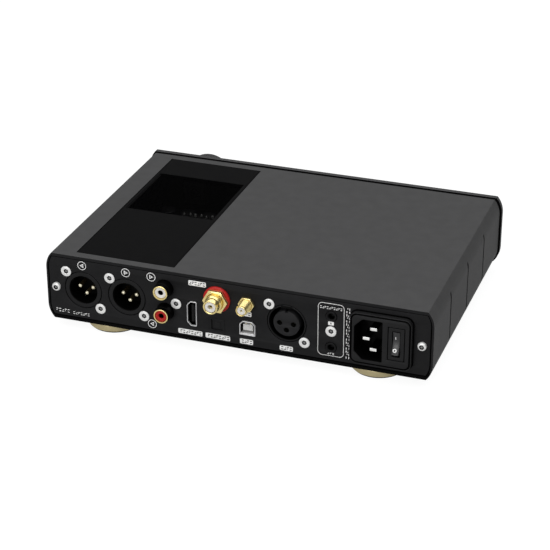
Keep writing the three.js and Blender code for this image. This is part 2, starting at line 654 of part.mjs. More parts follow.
const control = new THREE.Group();
control.position.set(knob.x, faciaFace, midHeight);
control.rotation.z = Math.PI;
object.add(control);
addTo(control, 'knob', knobCap(), look.anodised);
addTo(control, 'encoder_shaft', encoderShaft(), look.steel);
addTo(control, 'encoder_body', encoderBody(), look.steel);
addTo(control, 'encoder_plunger', encoderPlunger(), look.black);

for (const [end, y] of [['rear', foot.rear], ['front', foot.front]]) {
  for (const [side, x] of [['right', foot.x], ['left', -foot.x]]) {
    const group = new THREE.Group();
    group.position.set(x, y, 0);
    object.add(group);
    addTo(group, `foot_ring_${end}_${side}`, footRing(), look.champagne);
    addTo(group, `foot_pad_${end}_${side}`, footPad(), look.rubber);
  }
}

export default object;
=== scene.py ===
"""Looks of the desktop converter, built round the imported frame.

Shapes are drawn in millimetres and become metres when a mesh is made. A piece that belongs to a CAD
node takes its place from that node's box.
"""
import json
from math import asin, atan2, cos, pi, radians, sin

import bmesh
import bpy
from mathutils import Matrix, Vector


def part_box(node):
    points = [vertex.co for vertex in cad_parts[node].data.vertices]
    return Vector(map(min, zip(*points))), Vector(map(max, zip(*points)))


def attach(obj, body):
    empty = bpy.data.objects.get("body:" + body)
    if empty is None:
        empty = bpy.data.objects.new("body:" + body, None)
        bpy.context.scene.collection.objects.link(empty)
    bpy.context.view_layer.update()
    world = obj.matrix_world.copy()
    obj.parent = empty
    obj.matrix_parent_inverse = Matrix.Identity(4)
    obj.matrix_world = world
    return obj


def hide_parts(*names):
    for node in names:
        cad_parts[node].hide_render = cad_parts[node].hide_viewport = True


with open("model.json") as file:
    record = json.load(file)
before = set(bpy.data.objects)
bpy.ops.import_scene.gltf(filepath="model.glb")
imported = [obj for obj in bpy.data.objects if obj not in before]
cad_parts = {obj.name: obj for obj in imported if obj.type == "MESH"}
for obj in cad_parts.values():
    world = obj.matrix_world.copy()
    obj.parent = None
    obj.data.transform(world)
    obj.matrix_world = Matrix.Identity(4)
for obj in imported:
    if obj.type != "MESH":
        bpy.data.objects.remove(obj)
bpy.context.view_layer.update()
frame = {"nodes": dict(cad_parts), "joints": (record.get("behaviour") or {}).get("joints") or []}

MM = 0.001
MERGE = 0.001 * MM
SHARP, SHARPER = radians(32), radians(20)
NEARLY_STRAIGHT = radians(168)
ROOT = "chassis"

bpy.context.scene.view_settings.view_transform = "Standard"


# ---- camera, lights and floor
def aim(obj, target):
    obj.rotation_euler = (Vector(target) - obj.location).to_track_quat("-Z", "Y").to_euler()


def make_camera():
    azimuth, elevation = radians(199.26), radians(26.66)
    target, distance = Vector((4.7, 0, 10.2)) * MM, 1040.3 * MM
    back = Vector((sin(azimuth) * cos(elevation), -cos(azimuth) * cos(elevation), sin(elevation)))
    data = bpy.data.cameras.new("camera")
    data.sensor_width, data.lens = 36, 118.2
    camera = link("camera", data)
    camera.location = target + back * distance
    aim(camera, target)
    bpy.context.scene.camera = camera


def add_light(kind, name, location, target, energy, size):
    data = bpy.data.lights.new(name, kind)
    data.energy = energy
    if kind == "SUN":
        data.angle = size
    else:
        data.shape, data.size = "SQUARE", size
    lamp = link(name, data)
    lamp.location = location
    aim(lamp, target)


def settle(node, values):
    """Sets a node's own values, by its inputs' names or numbers."""
    for name, value in values.items():
        node.inputs[name].default_value = value


def make_stage():
    world = bpy.data.worlds.new("studio")
    bpy.context.scene.world = world
    world.use_nodes = True
    nodes, links = world.node_tree.nodes, world.node_tree.links
    room, seen = nodes["Background"], nodes.new("ShaderNodeBackground")
    settle(room, {"Color": (1, 1, 1, 1), "Strength": 0.15})
    settle(seen, {"Color": (1, 1, 1, 1)})
    mix, path = nodes.new("ShaderNodeMixShader"), nodes.new("ShaderNodeLightPath")
    links.new(path.outputs["Is Camera Ray"], mix.inputs["Fac"])
    links.new(room.outputs["Background"], mix.inputs[1])
    links.new(seen.outputs["Background"], mix.inputs[2])
    links.new(mix.outputs["Shader"], nodes["World Output"].inputs["Surface"])

    add_light("SUN", "overhead", (0, 0, 2), (0, 0, 0), 2.8, radians(100))
    add_light("AREA", "rear_fill", (0.3, 1.9, 0.4), (0, 0, 0), 22, 1.2)

    bpy.ops.mesh.primitive_plane_add(size=12, location=(0, 0, 0))
    floor = bpy.context.object
    floor.name = "floor"
    paint = bpy.data.materials.new("floor")
    paint.use_nodes = True
    shader = paint.node_tree.nodes["Principled BSDF"]
    settle(shader, {"Base Color": (0.12, 0.12, 0.12, 1), "Emission Color": (1, 1, 1, 1), "Roughness": 0.9,
                    "Specular IOR Level": 0.1})
    nodes, links = paint.node_tree.nodes, paint.node_tree.links
    path = nodes.new("ShaderNodeLightPath")
    seen, strength = nodes.new("ShaderNodeMath"), nodes.new("ShaderNodeMath")
    for step, factor, base in ((seen, 0.41, 0.52), (strength, -0.50, 0)):
        step.operation = "MULTIPLY_ADD"
        settle(step, {1: factor, 2: base})
    links.new(path.outputs["Is Camera Ray"], seen.inputs[0])
    links.new(path.outputs["Is Diffuse Ray"], strength.inputs[0])
    links.new(seen.outputs["Value"], strength.inputs[2])
    links.new(strength.outputs["Value"], shader.inputs["Emission Strength"])
    floor.data.materials.append(paint)


# ---- materials
def noise(tree, scale, detail=2.0):
    """A noise value over the piece's own coordinates; scale is in features per millimetre."""
    place, texture = tree.nodes.new("ShaderNodeTexCoord"), tree.nodes.new("ShaderNodeTexNoise")
    settle(texture, {"Scale": scale / MM, "Detail": detail})
    tree.links.new(place.outputs["Object"], texture.inputs["Vector"])
    return texture.outputs["Fac"]


def lines(tree, pitch, axis, rings=False):
    """Turning or brushing lines: bands along an axis, or rings about it. Pitch is in millimetres."""
    place, wave = tree.nodes.new("ShaderNodeTexCoord"), tree.nodes.new("ShaderNodeTexWave")
    if rings:
        wave.wave_type, wave.rings_direction = "RINGS", axis
    else:
        wave.bands_direction = axis
    settle(wave, {"Scale": 2 * pi / (20 * pitch * MM), "Distortion": 1.5, "Detail Scale": 3})
    tree.links.new(place.outputs["Object"], wave.inputs["Vector"])
    return wave.outputs["Fac"]


def between(tree, factor, low, high):
    """A value that runs from low to high as the factor runs over the middle of a noise's range."""
    ramp = tree.nodes.new("ShaderNodeMapRange")
    settle(ramp, {"From Min": 0.3, "From Max": 0.7, "To Min": low, "To Max": high})
    tree.links.new(factor, ramp.inputs["Value"])
    return ramp.outputs["Result"]


look = {}


def finish(name, colour, roughness, metallic=0.0, mottle=0.12, patch=0.15, grain=8.0, relief=0.004,
           rough_spread=0.06, specular=0.5, coat=0.0, turning=None):
    """A procedural finish: mottled colour, uneven gloss and a fine relief, all in millimetres.

    mottle is the share by which the colour wanders, patch and grain are features per millimetre,
    and turning is (pitch, axis, rings) for machined lines in place of grain.
    """
    look[name] = made = bpy.data.materials.new(name)
    made.use_nodes = True
    tree = made.node_tree
    nodes, links = tree.nodes, tree.links
    shader = nodes["Principled BSDF"]
    settle(shader, {"Metallic": metallic, "Specular IOR Level": specular, "Coat Weight": coat,
                    "Coat Roughness": 0.05})

    wander = noise(tree, patch)
    fine = lines(tree, *turning) if turning else noise(tree, grain, 3.0)
    tint = nodes.new("ShaderNodeMix")
    tint.data_type = "RGBA"
    dark, light = [(*[c * share for c in colour], 1) for share in (1 - mottle, 1 + mottle)]
    settle(tint, {"A": dark, "B": light})
    links.new(between(tree, wander, 0, 1), tint.inputs["Factor"])
    links.new(tint.outputs["Result"], shader.inputs["Base Color"])
    links.new(between(tree, fine, roughness - rough_spread, roughness + rough_spread),
              shader.inputs["Roughness"])
    bump = nodes.new("ShaderNodeBump")
    settle(bump, {"Distance": relief * MM})
    links.new(fine, bump.inputs["Height"])
    links.new(bump.outputs["Normal"], shader.inputs["Normal"])


finish("anodised", (0.065, 0.065, 0.066), 0.55, metallic=0.15, mottle=0.05, grain=7, relief=0.006,
       specular=0.1)
finish("facia", (0.065, 0.065, 0.066), 0.5, metallic=0.15, mottle=0.05, grain=9, specular=0.1)
finish("panel", (0.0092, 0.0092, 0.0098), 0.55, grain=6, relief=0.01, specular=0.12)
# The black of the front seal; it also serves as painted shade on the sleeve's inside and lower rear rim and
# on the facia's back.
finish("gasket", (0.002, 0.002, 0.002), 0.8, grain=4, relief=0.01, specular=0.04)
# Smoked glass lets light through both ways, so the fitted board shows faintly.
finish("glass", (0.0006, 0.0006, 0.0007), 0.06, mottle=0.05, relief=0.0002, rough_spread=0.02, specular=0.01)
settle(look["glass"].node_tree.nodes["Principled BSDF"], {"Alpha": 0.5})
finish("print_under_glass", (0.004, 0.004, 0.0042), 0.3, mottle=0.08, relief=0.0004, specular=0.04)
finish("display_glass", (0.003, 0.003, 0.004), 0.06, relief=0.0003, rough_spread=0.02, coat=0.5)
finish("moulded", (0.006, 0.006, 0.0065), 0.5, grain=5, relief=0.012, specular=0.12)
finish("socket", (0.0095, 0.0095, 0.010), 0.5, grain=6, relief=0.005, specular=0.12)
# Near-black painted shade for the inner walls and linings of sockets and ports, and the shaded sides of parts
# in them.
finish("cavity_shade", (0.0012, 0.0012, 0.0012), 0.45, grain=5, specular=0.06)
finish("insert", (0.012, 0.012, 0.013), 0.5, grain=6, relief=0.008, specular=0.15)
finish("inlet", (0.0105, 0.0105, 0.011), 0.5, mottle=0.15, grain=4, relief=0.02, specular=0.15)
finish("rocker", (0.017, 0.017, 0.018), 0.38, mottle=0.15, grain=4, relief=0.012)
# Near-black painted shade, put in openings, gaps, seams and floors where shade falls.
finish("hole_shade", (0.0008, 0.0008, 0.0008), 0.8, specular=0.02)
finish("gold", (0.90, 0.74, 0.33), 0.2, metallic=0.9, mottle=0.06, relief=0.0008, turning=(0.12, "Y", False))
finish("gold_pin", (1.0, 0.93, 0.70), 0.3, metallic=0.3, mottle=0.05, turning=(0.1, "Y", True), relief=0.001)
finish("nickel", (0.84, 0.84, 0.83), 0.35, metallic=0.3, mottle=0.05, turning=(0.2, "Y", True), relief=0.002)
# Dimmed nickel for the floors of the screws' hexagon sockets: painted shade in the recess.
finish("key_floor_shade", (0.20, 0.20, 0.20), 0.5, metallic=0.2, mottle=0.1, grain=5, relief=0.003)
finish("pin_shade", (0.030, 0.022, 0.010), 0.5, mottle=0.1, relief=0.002, specular=0.1)
finish("tin", (0.66, 0.66, 0.67), 0.35, metallic=0.5, mottle=0.10, grain=5, relief=0.003)
finish("blade", (0.92, 0.92, 0.90), 0.3, metallic=0.4, mottle=0.06, grain=4)
finish("white", (0.80, 0.78, 0.74), 0.38, mottle=0.04, grain=3, relief=0.003)
finish("ivory", (0.62, 0.62, 0.61), 0.42, mottle=0.08, grain=3, relief=0.003)
finish("red", (0.42, 0.012, 0.010), 0.36, mottle=0.08, grain=3, relief=0.003, specular=0.3)
finish("ink", (0.90, 0.90, 0.89), 0.6, mottle=0.03, grain=9, relief=0.003)
finish("champagne", (0.50, 0.425, 0.24), 0.4, metallic=0.55, mottle=0.10, turning=(0.5, "Z", False),
       relief=0.01)
finish("rubber", (0.006, 0.006, 0.006), 0.85, mottle=0.2, grain=3, relief=0.02, specular=0.08)
finish("board", (0.004, 0.010, 0.007), 0.4, mottle=0.2, patch=0.4)
finish("chip", (0.006, 0.006, 0.006), 0.6, grain=5)
finish("sleeve_film", (0.004, 0.005, 0.012), 0.35, grain=4, relief=0.003)
finish("can", (0.72, 0.72, 0.73), 0.42, metallic=0.4, mottle=0.15, grain=2, relief=0.01)


# ---- outlines, in millimetres
def soften(points, radius, closed=True, steps=4):
    """The same polyline with each corner rounded off. Long arcs pass through untouched."""
    count, out = len(points), []
    for i, corner in enumerate(points):
        if not closed and i in (0, count - 1):
            out.append(corner)
            continue
        p, a, b = Vector(corner), Vector(points[i - 1]), Vector(points[(i + 1) % count])
        reach = min(radius, 0.45 * (a - p).length, 0.45 * (b - p).length)
        if (a - p).angle(b - p) > NEARLY_STRAIGHT or reach < 1e-4:
            out.append(corner)
            continue
        start, end = p + (a - p).normalized() * reach, p + (b - p).normalized() * reach
        for k in range(steps + 1):
            t = k / steps
            out.append(tuple((1 - t) ** 2 * start + 2 * t * (1 - t) * p + t ** 2 * end))
    return out


def eased(points, radius, steps=4):
    """An open line softened, with its two ends kept."""
    return soften(points, radius, False, steps)


def arc(x, z, radius, start, end, steps):
    angles = [start + (end - start) * i / steps for i in range(steps + 1)]
    return [(x + radius * cos(a), z + radius * sin(a)) for a in angles]


def circle(x, z, radius, steps=64):
    return arc(x, z, radius, 0, 2 * pi, steps)[:-1]


def rectangle(x, z, width, height, corner=0.0):
    w, h = width / 2, height / 2
    points = [(x - w, z - h), (x + w, z - h), (x + w, z + h), (x - w, z + h)]
    if not corner:
        return points
    out = []
    for turn, (cx, cz) in enumerate(points):
        inward_x, inward_z = (x - cx) / w * corner, (z - cz) / h * corner
        out += arc(cx + inward_x, cz + inward_z, corner, pi * (1 + turn / 2), pi * (1.5 + turn / 2), 8)
    return out


def chamfered(x, z, width, height, chamfer, upper=False):
    """A rectangle whose two corners on the +X side, or its two upper ones, are cut off."""
    w, h = (height / 2, width / 2) if upper else (width / 2, height / 2)
    points = [(-w, -h), (w - chamfer, -h), (w, chamfer - h), (w, h - chamfer), (w - chamfer, h), (-w, h)]
    return [(x - b, z + a) if upper else (x + a, z + b) for a, b in points]


def hexagon(radius, turn=0.0):
    angles = [turn + i * pi / 3 for i in range(6)]
    return [(radius * cos(a), radius * sin(a)) for a in angles]


def tube(inner, outer, start, end):
    """A plain tube's profile for turned(), or a disc's where the inner radius is nought."""
    wall = [(inner, start), (outer, start), (outer, end), (inner, end)]
    return wall + wall[:1] if inner else wall


def dome(radius, height, degrees):
    """A quarter ellipse's points by their angles, for a rounded tip."""
    return [(radius * cos(radians(d)), height * sin(radians(d))) for d in degrees]


# ---- meshes
def link(name, data, at=(0, 0, 0)):
    obj = bpy.data.objects.new(name, data)
    bpy.context.scene.collection.objects.link(obj)
    obj.location = Vector(at) * MM
    return obj


def tidy(mesh):
    """Merges doubled points and turns every face outward."""
    work = bmesh.new()
    work.from_mesh(mesh)
    bmesh.ops.remove_doubles(work, verts=work.verts, dist=MERGE)
    bmesh.ops.recalc_face_normals(work, faces=work.faces)
    work.to_mesh(mesh)
    work.free()


def turned(name, profile, paint, at=(0, 0, 0), axis="Y", sides=72, flutes=0):
    """A profile of (radius, height) turned about an axis; a ring's profile ends where it starts.

    With flutes, alternate steps round the outside are drawn in by a point's third value, for a grip.
    """
    closed = profile[0] == profile[-1]
    rings = profile[:-1] if closed else profile
    sides = flutes * 4 if flutes else sides
    points, index = [], []
    for radius, height, *flute in rings:
        if radius < 1e-6:
            index.append([len(points)] * sides)
            points.append((0, height, 0))
            continue
        index.append(list(range(len(points), len(points) + sides)))
        for k in range(sides):
            angle, r = 2 * pi * k / sides, radius - (flute[0] if flute and k % 4 < 2 else 0.0)
            points.append((r * cos(angle), height, r * sin(angle)))
    if axis == "Z":
        points = [(x, z, y) for x, y, z in points]
    faces = []
    for i in range(len(rings) if closed else len(rings) - 1):
        a, b = index[i], index[(i + 1) % len(rings)]
        for k in range(sides):
            n = (k + 1) % sides
            corners = list(dict.fromkeys([a[k], a[n], b[n], b[k]]))
            if len(corners) > 2:
                faces.append(corners)
    mesh = bpy.data.meshes.new(name)
    mesh.from_pydata([Vector(p) * MM for p in points], [], faces)
    tidy(mesh)
    mesh.materials.append(look[paint])
    return link(name, mesh, at)


def plate(name, loops, y0, y1, paint, bevel=0.12, at=(0, 0, 0)):
    """Outlines in (X, Z), the first the rim and the rest its holes, carried from y0 to y1, edges eased."""
    curve = bpy.data.curves.new(name, "CURVE")
    curve.dimensions, curve.fill_mode = "2D", "BOTH"
    for loop in loops:
        spline = curve.splines.new("POLY")
        spline.points.add(len(loop) - 1)
        spline.points.foreach_set("co", [c for x, z in loop for c in (x, z, 0, 1)])
        spline.use_cyclic_u = True
    curve.extrude = (y1 - y0) / 2 - bevel
    curve.bevel_depth, curve.bevel_resolution, curve.offset = bevel, 1, -bevel
    drawn = bpy.data.objects.new(name, curve)
    mesh = bpy.data.meshes.new_from_object(drawn)
    bpy.data.objects.remove(drawn)
    bpy.data.curves.remove(curve)
    mesh.transform(Matrix.Scale(MM, 4) @ Matrix.Translation((0, (y0 + y1) / 2, 0))
                   @ Matrix.Rotation(pi / 2, 4, "X"))
    tidy(mesh)
    mesh.materials.clear()
    mesh.materials.append(look[paint])
    return link(name, mesh, at)


def joined(name, *parts):
    with bpy.context.temp_override(active_object=parts[0], selected_editable_objects=list(parts)):
        bpy.ops.object.join()
    parts[0].name = parts[0].data.name = name
    return parts[0]


def carve(obj, *cutters):
    """Takes the cutters' solids out of obj."""
    cutter = joined(obj.name + "_cutter", *cutters)
    step = obj.modifiers.new("carve", "BOOLEAN")
    step.operation, step.solver, step.object = "DIFFERENCE", "EXACT", cutter
    step.use_self = True
    result = bpy.data.meshes.new_from_object(obj.evaluated_get(bpy.context.evaluated_depsgraph_get()))
    obj.modifiers.clear()
    obj.data = result
    bpy.data.objects.remove(cutter)


def repaint(obj, paint, chosen):
    """Gives another finish to the faces that pass the test, which gets a face's normal and centre."""
    obj.data.materials.append(look[paint])
    for face in obj.data.polygons:
        if chosen(face.normal, face.center / MM):
            face.material_index = len(obj.data.materials) - 1
    return obj


def piece(obj, slot, *stands_for, body=ROOT, smooth=SHARP):
    """Shades the piece and says which body it rides on and the CAD nodes it stands for. The slot is not used.
    """
    obj.data.shade_smooth()
    obj.data.set_sharp_from_angle(angle=smooth)
    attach(obj, body)
    if stands_for:
        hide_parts(*stands_for)


def assembled(name, parts, slot, *stands_for, at=None, body=ROOT):
    """Joins the parts into one piece and, where a place is given, moves it there."""
    obj = joined(name, *parts)
    if at:
        obj.location = Vector(at) * MM
    piece(obj, slot, *stands_for, body=body)


# ---- places taken from the CAD
def box_mm(node):
    low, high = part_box(node)
    return low / MM, high / MM


def across(node):
    """A node's box as seen from behind: (x, z, width, height), the first two its middle."""
    low, high = box_mm(node)
    return (low.x + high.x) / 2, (low.z + high.z) / 2, high.x - low.x, high.z - low.z


def middle(node):
    """The middle of a node's box across the rear panel, and the panel's face: (x, face, z)."""
    x, z, _, _ = across(node)
    return x, REAR, z


case_low, case_high = box_mm("case_shell")
MIDDLE_Z = (case_low.z + case_high.z) / 2
REAR = case_high.y


# ---- case
WALL, FLANK, CREASE, BEND = 2.0, 1.2, 3.5, 9.0
BEND_RADIUS = (CREASE ** 2 + BEND ** 2) / (2 * CREASE)


def case_outline(side, cap=None, steps=14):
    """The sleeve's section, moved in by side at the flanks and by cap at the top and bottom."""
    cap = side if cap is None else cap
    radius = BEND_RADIUS - side
    centre = case_high.x - BEND_RADIUS
    low, high = case_low.z + BEND, case_high.z - BEND
    sweep = asin((BEND - cap) / radius)
    return (arc(centre, high, radius, 0, sweep, steps)
            + arc(-centre, high, radius, pi - sweep, pi, steps)
            + arc(-centre, low, radius, pi, pi + sweep, steps)
            + arc(centre, low, radius, 2 * pi - sweep, 2 * pi, steps))


def inside(normal, at):
    """True for the sleeve's inner faces, those that look toward its axis, which are painted shade."""
    return abs(normal.y) < 0.5 and normal.x * at.x + normal.z * (at.z - MIDDLE_Z) < 0


def make_case():
    outlines = [case_outline(0), case_outline(FLANK, WALL)]
    sleeve = plate("sleeve", outlines, case_low.y, REAR, "anodised", 0.25)
    depth, half_width, past = 0.8, 0.85, 1
    groove_x, cuts = case_high.x + (past - depth) / 2, []
    for side in (-1, 1):
        for y in (REAR - 35, REAR - 72.5, REAR - 110):
            cuts.append(plate("groove", [rectangle(side * groove_x, MIDDLE_Z, depth + past, 60)],
                              y - half_width, y + half_width, "gasket", 0.2))
    low, high = box_mm("top_window")
    x, _, width, _ = across("top_window")
    gap, ledge = 0.42, 1.8
    for name, z, margin in (("rebate", low.z + 2, gap), ("light", low.z - 1, -ledge)):
        cuts.append(plate(name, [rectangle(x, z, width + 2 * margin, 4)], low.y - margin, high.y + margin,
                          "hole_shade", 0.001))
    carve(sleeve, *cuts)
    # Painted shade: the sleeve's rear-facing end faces take the rear panel's black.
    repaint(sleeve, "panel", lambda n, at: n.y > 0.9)
    # Painted shade: the rear end is near-black along its bottom.
    repaint(sleeve, "gasket", lambda n, at: n.y > 0.9 and at.z < case_low.z + 5)
    # Painted shade: the lower rear bevel, which faces the floor, is near-black.
    repaint(sleeve, "hole_shade", lambda n, at: n.y > 0.2 and n.z < -0.2)
    # Painted shade: the sleeve's inside is near-black.
    repaint(sleeve, "gasket", inside)
    piece(sleeve, "case", "case_shell", smooth=SHARPER)

    ribs = []
    for side in (-1, 1):
        channel = [rectangle(side * 104.8, MIDDLE_Z, 7.2, 7.2, 1), circle(side * 104, MIDDLE_Z, 1.9, 24)]
        rail = [rectangle(side * 106, 10.9, 5.6, 1.4, 0.3)]
        # The channels inside the sleeve are near-black, painted shade like the sleeve's inside.
        ribs += [plate("rib", loops, case_low.y, REAR - 3.2, "gasket") for loops in (channel, rail)]
    assembled("sleeve_channels", ribs, "case")


def make_window():
    """Glass in three by three fields, of which only the middle one can be seen through."""
    low, high = box_mm("top_window")
    xs, ys = [low.x, low.x + 2.0, high.x - 1.7, high.x], [low.y, -40.5, 12.0, high.y]
    points = [(x, y, z) for z in (low.z, high.z) for y in ys for x in xs]
    layer, rim = len(xs) * len(ys), [0, 1, 2, 3, 7, 11, 15, 14, 13, 12, 8, 4]
    fields = [base + 4 * j + i for base in (0, layer) for j in range(3) for i in range(3)]
    faces = [[a, a + 1, a + 5, a + 4] for a in fields]
    faces += [[a, b, b + layer, a + layer] for a, b in zip(rim, rim[1:] + rim[:1])]
    clear = [i in (4, 13) for i in range(len(faces))]
    mesh = bpy.data.meshes.new("skylight")
    mesh.from_pydata([Vector(p) * MM for p in points], [], faces)
    mesh.materials.append(look["print_under_glass"])
    mesh.materials.append(look["glass"])
    mesh.polygons.foreach_set("material_index", clear)
    work = bmesh.new()
    work.from_mesh(mesh)
    bmesh.ops.recalc_face_normals(work, faces=work.faces)
    edges = [e for e in work.edges if e.calc_face_angle(0) > 1]
    bmesh.ops.bevel(work, geom=edges, offset=0.12 * MM, segments=2, affect="EDGES")
    work.to_mesh(mesh)
    work.free()
    piece(link("skylight_glass", mesh), "window", "top_window", smooth=SHARPER)


# ---- front
def make_front():
    low, high = box_mm("front_gasket")
    ring = plate("gasket_ring", [case_outline(0.4), case_outline(WALL)], low.y, high.y, "gasket", 0.1)
    piece(ring, "gasket", "front_gasket")

    low, high = box_mm("front_panel")
    lens_low, lens_high = box_mm("display_lens")
    x, z, width, height = across("display_lens")
    knob_x, _, knob_z = middle("knob")
    hub = knob_x, 0, knob_z
    rim, bore = case_outline(-1.0, -0.55), circle(knob_x, knob_z, 4.7, 40)
    recess = rectangle(x, z, width + 0.4, height + 0.4, 2.0)
    sight = rectangle(x, z, width - 6, height - 6, 1.0)
    step, lip = lens_high.y + 0.1, low.y - 0.35
    face = plate("facia_front", [rim, recess, bore], low.y, step, "facia", 0.3)
    back = plate("facia_back", [rim, sight, bore], step - 0.6, high.y, "facia", 0.25)
    seat = eased([(15.4, low.y), (15.4, lip), (16.2, lip), (16.2, low.y)], 0.1)
    seat = turned("knob_seat", seat, "facia", at=hub, sides=96)
    # Painted shade: the facia's rear-facing faces are near-black.
    facia = repaint(joined("facia", face, back, seat), "gasket", lambda n, at: n.y > 0.5)
    piece(facia, "facia", "front_panel")

    lens = plate("display_window", [rectangle(x, z, width, height, 1.8)], lens_low.y, lens_high.y,
                 "display_glass", 0.15)
    piece(lens, "display_glass", "display_lens")

    low, high = box_mm("knob")
    radius, back, nose = (high.x - low.x) / 2, high.y, low.y
    rear = [(3.15, back - 4), (10.5, back - 4), (10.5, back), (radius - 0.1, back),
            (radius - 0.1, back - 2.2)]
    grip = [(radius - 0.5, back - 2.6), (radius - 0.02, back - 2.9, 0.45),
            (radius - 0.02, nose + 2.9, 0.45), (radius - 0.5, nose + 2.6)]
    front = [(radius - 0.1, nose + 2.2), (radius, nose + 1.0), (radius - 0.9, nose), (radius - 1.6, nose),
             (radius - 2.2, nose + 0.35), (0.0, nose + 0.7)]
    profile = [(0.0, back - 9), (3.15, back - 9), *eased(rear, 0.4), *grip, *eased(front, 0.25)]
    knob = turned("grip", profile, "facia", at=hub, flutes=60)
    pointer = plate("pointer", [rectangle(0, radius - 5, 1.1, 4.2, 0.5)], nose + 0.3, nose + 0.6, "ink",
                    0.05, at=hub)
    assembled("knob_turned", (knob, pointer), "knob", "knob", body="knob")


# ---- feet
def make_feet():
    for corner in ("rear_right", "rear_left", "front_right", "front_left"):
        low, high = box_mm("foot_ring_" + corner)
        pad_low, pad_high = box_mm("foot_pad_" + corner)
        x, y = (low.x + high.x) / 2, (low.y + high.y) / 2
        radius, tread_radius = (high.x - low.x) / 2, (pad_high.x - pad_low.x) / 2
        inner, top = tread_radius + 0.15, pad_high.z - 0.2
        rim = eased([(inner, low.z + 1.2), (inner, low.z), (radius - 0.25, low.z), (radius, low.z + 0.25),
                      (radius, high.z - 0.5), (radius - 0.4, high.z)], 0.12, steps=3)
        ring = turned("foot_" + corner, [(0, low.z + 1.2), *rim, (0, high.z)], "champagne", at=(x, y, 0),
                      axis="Z", sides=96)
        piece(ring, "foot_ring", "foot_ring_" + corner)

        tread = [(tread_radius * share, 0.0 if k % 2 else 0.35) for k, share in
                 enumerate((0.30, 0.33, 0.55, 0.58, 0.80, 0.83))]
        side = eased([(tread_radius - 0.4, 0.0), (tread_radius, 0.4), (tread_radius, top)], 0.2)
        pad = turned("foot_tread_" + corner, [(0, 0.35), *tread, *side, (0, top)], "rubber", at=(x, y, 0),
                     axis="Z")
        piece(pad, "foot_pad", "foot_pad_" + corner)


# ---- rear panel
xlr_nodes = ("balanced_output_r_shell", "balanced_output_l_shell", "balanced_input_shell")
jack_nodes = ("trigger_jack_upper", "trigger_jack_lower")
screw_nodes = [n for n in frame["nodes"] if n.endswith(("screw", "screw_upper", "screw_lower"))]


def jack_centre(node):
    """The bore of a trigger jack lies below the middle of its box."""
    return middle(node)[0], REAR, box_mm(node)[0].z + 3.0


def make_rear_panel():
    low, high = box_mm("rear_panel")
    holes = [circle(x, z, 11.1) for x, _, z in map(middle, xlr_nodes)]
    holes += [circle(x, z, 3.08, 32) for x, _, z in map(middle, screw_nodes)]
    for node, radius in (("phono_shell_l", 5.0), ("phono_shell_r", 5.0), ("coaxial_barrel", 5.1),
                         ("antenna_barrel", 3.45)):
        x, _, z = middle(node)
        holes.append(circle(x, z, radius, 40))
    holes += [circle(x, z, 3.25, 40) for x, _, z in map(jack_centre, jack_nodes)]
    for node, chamfer, corner, upper in (("link_port_shell", 2.2, 0.4, False),
                                         ("usb_port_shell", 1.9, 0.2, True)):
        x, z, width, height = across(node)
        holes.append(soften(chamfered(x, z, width + 0.4, height + 0.4, chamfer, upper), corner))
    for node, width, height, corner in (("optical_port_body", 9.12, 7.62, 0.3),
                                        ("mains_inlet_body", 30, 26, 1)):
        x, _, z = middle(node)
        holes.append(rectangle(x, z, width, height, corner))
    # The panel stands up against the sleeve's roof, and leaves its gap at the flanks and below.
    rim = [(x, z + 0.5 * (z > case_high.z / 2)) for x, z in case_outline(FLANK + 0.65, WALL + 0.65)]
    body = plate("panel", [rim, *holes], low.y, high.y, "panel", 0.12)
    # A near-black ring of painted shade fills the gap between the panel and the sleeve.
    gap = [case_outline(FLANK + 0.02, WALL + 0.02), case_outline(FLANK + 0.9, WALL + 0.9)]
    seam = plate("seam", gap, high.y - 1.6, high.y - 0.6, "hole_shade", 0.02)
    assembled("panel_face", (body, seam), "rear_panel", "rear_panel")


def make_screws():
    """Flat heads for the sockets and domed heads for the panel, each with a hexagon key socket whose walls
    and shank are near-black painted shade and whose floor is dimmed by painted shade.
    """
    head = plate("head", [circle(0, 0, 3.0), hexagon(1.45, 0.3)], -1.0, 0.25, "nickel", 0.12)
    key = plate("key", [hexagon(1.5, 0.3), circle(0, 0, 0.72, 24)], -0.98, 0.02, "hole_shade", 0.02)
    shank = turned("shank", [(0, -7), (1.5, -7), (1.5, -1.0), (2.6, -1.0), (2.6, -0.9), (0, -0.9)], "hole_shade",
                   sides=40)
    floor = turned("key_floor", tube(0, 0.71, -0.95, -0.12), "key_floor_shade", sides=32)
    flat = joined("flat_head", head, key, shank, floor)

    lip = 1.35
    crown = [(lip + x, 0.75 + y) for x, y in dome(1.1, 1.05, range(0, 91, 15))]
    head = turned("dome", [(lip, 1.0), (lip, 0.0), (2.4, 0.0), *crown, (lip, 1.0)], "nickel", sides=64)
    # The domed head's key and shank are near-black painted shade, and its key's floor is dimmed by painted
    # shade.
    key = plate("key", [circle(0, 0, lip + 0.02, 40), circle(0, 0, 0.68, 24)], 0.6, 1.6, "hole_shade", 0.02)
    shank = turned("shank", tube(0, 1.5, -11, 0.62), "hole_shade", sides=40)
    floor = turned("key_floor", tube(0, 0.67, 0.6, 1.5), "key_floor_shade", sides=32)
    domed = joined("button_head", head, key, shank, floor)

    for screw, nodes in ((flat, screw_nodes), (domed, ("panel_screw_right", "panel_screw_left"))):
        for node in nodes:
            piece(link(node + "_head", screw.data, middle(node)), "screw", node)
        bpy.data.objects.remove(screw)


# ---- three-pole sockets
PIN_CIRCLE = 3.9
pin_places = ((PIN_CIRCLE, 0), (-PIN_CIRCLE, 0), (0, -PIN_CIRCLE))


def cushion(name, radius, end, paint):
    """The floor of a three-pole socket, with its outer edge eased."""
    edge = eased([(radius, -13.7), (radius, end), (0, end)], 0.2)
    return turned(name, [(0, -13.7), *edge], paint)


